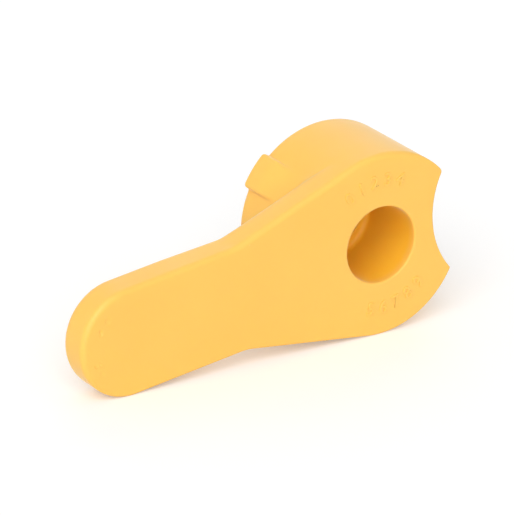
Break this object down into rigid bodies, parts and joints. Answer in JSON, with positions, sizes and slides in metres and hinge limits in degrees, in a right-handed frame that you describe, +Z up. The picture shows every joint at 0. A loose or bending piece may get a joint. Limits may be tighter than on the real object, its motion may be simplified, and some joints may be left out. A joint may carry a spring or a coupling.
{
  "type": "lever",
  "caption": "Moulded yellow-orange hand lever: deep round hub with a blind front well, a flat rounded arm, a post hollow and a stop tab, on a stiff flanged pivot sleeve.",
  "frame": {"origin": "on the pivot axis, at the mouth of the front well, in the plane of the lever's front face", "axes": "+Y along the pivot axis from the front face to the back of the hub, +Z up as the lever stands on the hub's rim and the arm's tip, arm towards -X and 7.9 degrees down"},
  "size_m": [0.1078, 0.0276, 0.048],
  "materials": {
    "moulding": "satin, as moulded",
    "core_steel": "stamped, plain",
    "bush_bronze": "sintered bronze, oiled",
    "zinc_steel": "turned, zinc plated",
    "spring_steel": "phosphated spring steel",
    "pin_steel": "ground"
  },
  "bodies": {
    "lever": {"lever_moulding": "moulding", "arm_core": "core_steel", "pivot_bush": "bush_bronze"},
    "pivot": {"pivot_sleeve": "zinc_steel", "retaining_ring": "spring_steel", "thrust_washer": "bush_bronze", "disc_spring": "spring_steel", "stop_pin": "pin_steel"}
  },
  "joints": [
    {"name": "lever_swing", "type": "hinge", "parent": "lever", "child": "pivot", "pos_m": [0, 0.0236, 0], "axis": [0, -1, 0], "range_deg": [0, 60]}
  ]
}
